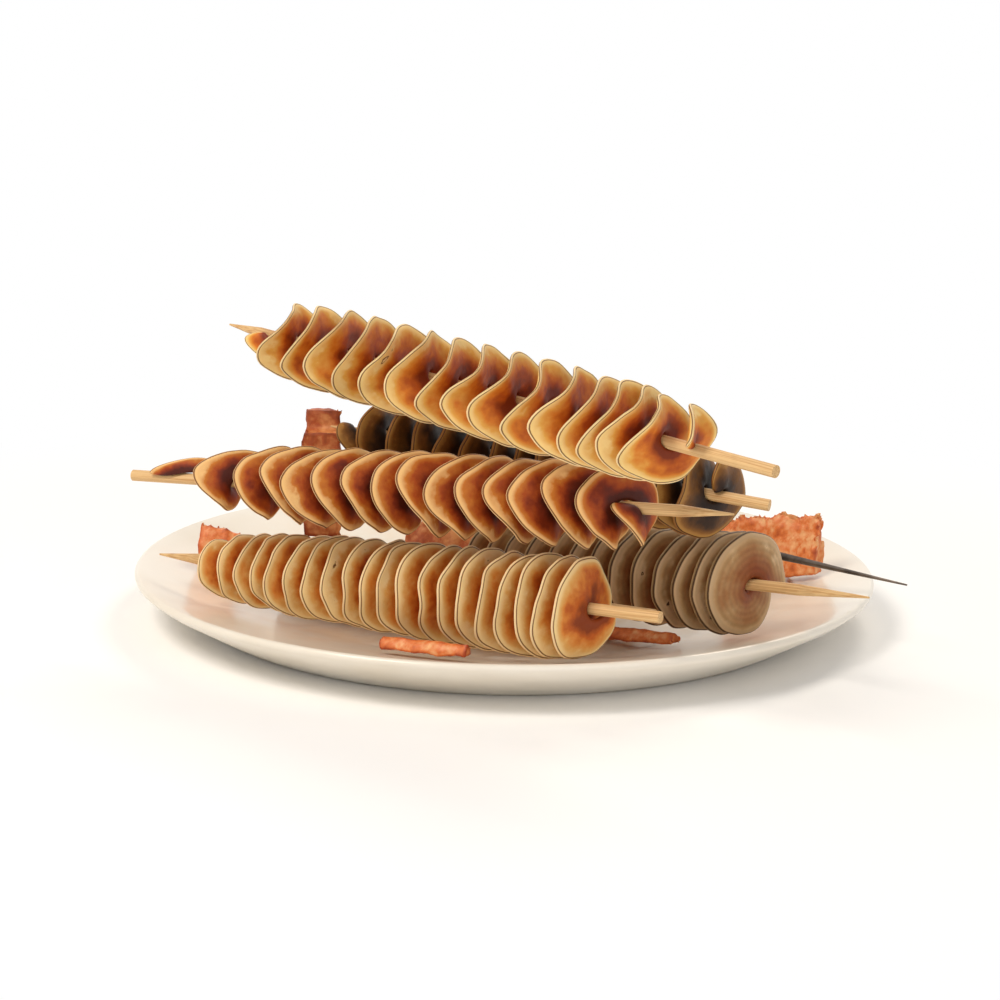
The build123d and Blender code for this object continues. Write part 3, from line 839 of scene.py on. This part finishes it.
ROLLS = (
    Roll(TOP, GOLDEN, "spiral_top", 25, 265, (16, 20.5, 20.5, 20.5, 20.5, 20.5, 20, 17), 16, 2.4,
         lean=5.0, lean_way=300, ruffle=4.4, ruffle_way=45, cup=-2.0, hand=Hand.RIGHT, wound_from=80,
         curl=4.0, curl_way=50, taper=(0.5, 0.2), crowd=TOP_SPACING),
    Roll(MIDDLE, RUSSET, "spiral_middle", 20, 235, (12, 17.5, 19, 19.3, 19.3, 19.3, 19.3, 18), 15, 2.4,
         lean=9.0, lean_way=235, ruffle=2.6, ruffle_way=140, cup=-3.0, hand=Hand.LEFT, wound_from=60,
         curl=2.0, curl_way=130, crowd=(2.4, 1.0, 1.0, 1.0, 1.0, 1.0, 1.0, 0.9)),
    Roll(FRONT, TAN, "roll_front", 32, 207, (15, 18.5, 20.5, 21.5, 22.5, 23.3, 23.8, 23.8), 20, 2.8,
         lean=5.0, lean_way=270, ruffle=1.4, ruffle_way=30, cup=-2.6, hand=Hand.RIGHT, wound_from=276,
         curl=1.0, curl_way=90, flutter=0.8, crowd=(1.0, 1.0, 1.0, 1.0, 0.8)),
    Roll(RIGHT, SHADED_GREY_BROWN, "roll_right", 8, 158, (19.5, 22, 23, 23.5, 24.2, 24.4), 13, 5.0,
         lean=3.0, lean_way=270, ruffle=1.0, ruffle_way=0, cup=-1.6, hand=Hand.LEFT, wound_from=252,
         flutter=0.4, bend=1.6, frill=0.8, taper=(0.5, 0.0), crowd=(1.0, 1.0, 1.0, 1.0, 0.55)),
    Roll(REAR, DEEP_SHADE_POTATO, "spiral_rear", 9, 184, (15, 19.5, 20, 20, 20, 20), 15, 3.2,
         lean=8.0, lean_way=250, ruffle=2.4, ruffle_way=45, cup=-2.0, hand=Hand.RIGHT, wound_from=50,
         taper=(0.5, 0.3), crowd=(1.2, 1.1, 1.0, 0.8)),
    Roll(STEEL, DEEP_SHADE_POTATO, "spiral_steel", 72, 92, (18, 20, 20, 20, 18), 8, 2.8,
         lean=3.0, lean_way=270, ruffle=1.4, ruffle_way=0, cup=-2.0, hand=Hand.LEFT, wound_from=324),
    Roll(HIDDEN, TAN, "roll_hidden", 12, 148, (14, 17, 18, 18, 17), 13, 2.4,
         lean=3.0, lean_way=270, ruffle=1.6, ruffle_way=60, cup=-2.0, hand=Hand.RIGHT, wound_from=192),
)

CHIPS = (
    Chip("left", "chip_left", ORANGE),
    Chip("right", "chip_right", ORANGE, ripple=1.7),
    Chip("core", "chip_core", REDDISH),
    Chip("prop", "roll_front", REDDISH, ripple=1.7),
    Chip("front", "root", ORANGE),
    Chip("under_left", "root", REDDISH),
    Chip("mid_right", "root", ORANGE),
)


@dataclass(frozen=True)
class Platter:
    """The turned platter: a flat well, a rising rim with a rounded lip, and a foot ring."""

    rim: float = 175.0
    height: float = 23.0
    lip: float = 4.0
    well: float = 112.0
    floor: float = 8.0
    base: float = 4.6
    foot: float = 142.0
    foot_width: float = 8.0
    steps: int = 180

    def section(self) -> list[tuple[float, float]]:
        """Points of the section from the axis, under the foot, round the lip and back.

        Returns:
            Distances from the axis and heights, in millimetres.
        """
        recess = self.floor - self.base
        under = self.height - self.lip
        wall = [(0.0, recess), (60.0, recess), (self.foot - self.foot_width - recess - 4, recess),
                (self.foot - self.foot_width - recess, recess), (self.foot - self.foot_width - 0.8, 0.7),
                (self.foot - self.foot_width + 0.6, 0.0), (self.foot - 1.2, 0.0), (self.foot + 0.2, 0.4),
                (self.foot + 1.6, 1.2)]
        for k in range(1, 6):
            part = k / 6
            wall.append((self.foot + (self.rim - self.foot) * part, under * part))
        for k in range(7):
            turn = -math.pi / 2 + 0.5 + (math.pi - 0.35) * k / 6
            wall.append((self.rim - 1.9 + 1.9 * math.cos(turn), self.height - 2.0 + 1.98 * math.sin(turn)))
        for k in range(1, 9):
            part = k / 9
            sag = 0.35 * math.sin(math.pi * part)
            wall.append((self.rim - 3.2 - (self.rim - 3.2 - self.well - 4) * part,
                         self.height - 0.9 - (self.height - 0.9 - self.floor - 1.0) * part - sag))
        wall += [(self.well + 2.0, self.floor + 0.55), (self.well, self.floor + 0.25),
                 (self.well - 3.0, self.floor),
                 (80.0, self.floor), (40.0, self.floor), (0.0, self.floor)]
        return wall

    def build(self) -> Object:
        """Turns the section on the axis.

        Returns:
            The platter.
        """
        start_afresh()
        points = self.section()
        bpy.ops.mesh.primitive_plane_add(size=1.0)
        piece = name_piece("glazed_platter")
        bpy.ops.object.mode_set(mode="EDIT")
        bpy.ops.mesh.select_all(action="SELECT")
        bpy.ops.mesh.merge(type="CENTER")
        for near, far in zip(points, points[1:]):
            step = ((far[0] - near[0]) * MM, 0.0, (far[1] - near[1]) * MM)
            bpy.ops.mesh.extrude_vertices_move(TRANSFORM_OT_translate={"value": step})
        bpy.ops.object.mode_set(mode="OBJECT")
        for vertex in piece.data.vertices:
            vertex.co.z += points[0][1] * MM
        bpy.ops.object.mode_set(mode="EDIT")
        bpy.ops.mesh.select_all(action="SELECT")
        bpy.ops.mesh.spin(steps=self.steps, angle=2 * math.pi, center=(0, 0, 0), axis=(0, 0, 1))
        bpy.ops.mesh.select_all(action="SELECT")
        bpy.ops.mesh.remove_doubles(threshold=0.00002)
        bpy.ops.object.mode_set(mode="OBJECT")
        settle(piece)
        dress(piece, Porcelain().make())
        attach(piece, "root")
        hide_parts("platter")
        LOG.info("%s: %d faces", piece.name, len(piece.data.polygons))
        return piece


def main() -> None:
    """Builds the setting and every piece."""
    logging.basicConfig(level=logging.INFO, format="%(message)s")
    Studio().build()
    Platter().build()
    for stick in (TOP, MIDDLE, FRONT, RIGHT, REAR, HIDDEN):
        stick.dress(Bamboo(f"split bamboo of the {stick.name} skewer", stick.heading, stick.rise), "bamboo")
    STEEL.dress(DarkSteel(), "steel")
    for roll in ROLLS:
        roll.build()
    for chip in CHIPS:
        chip.build()


if __name__ == "__main__":
    main()
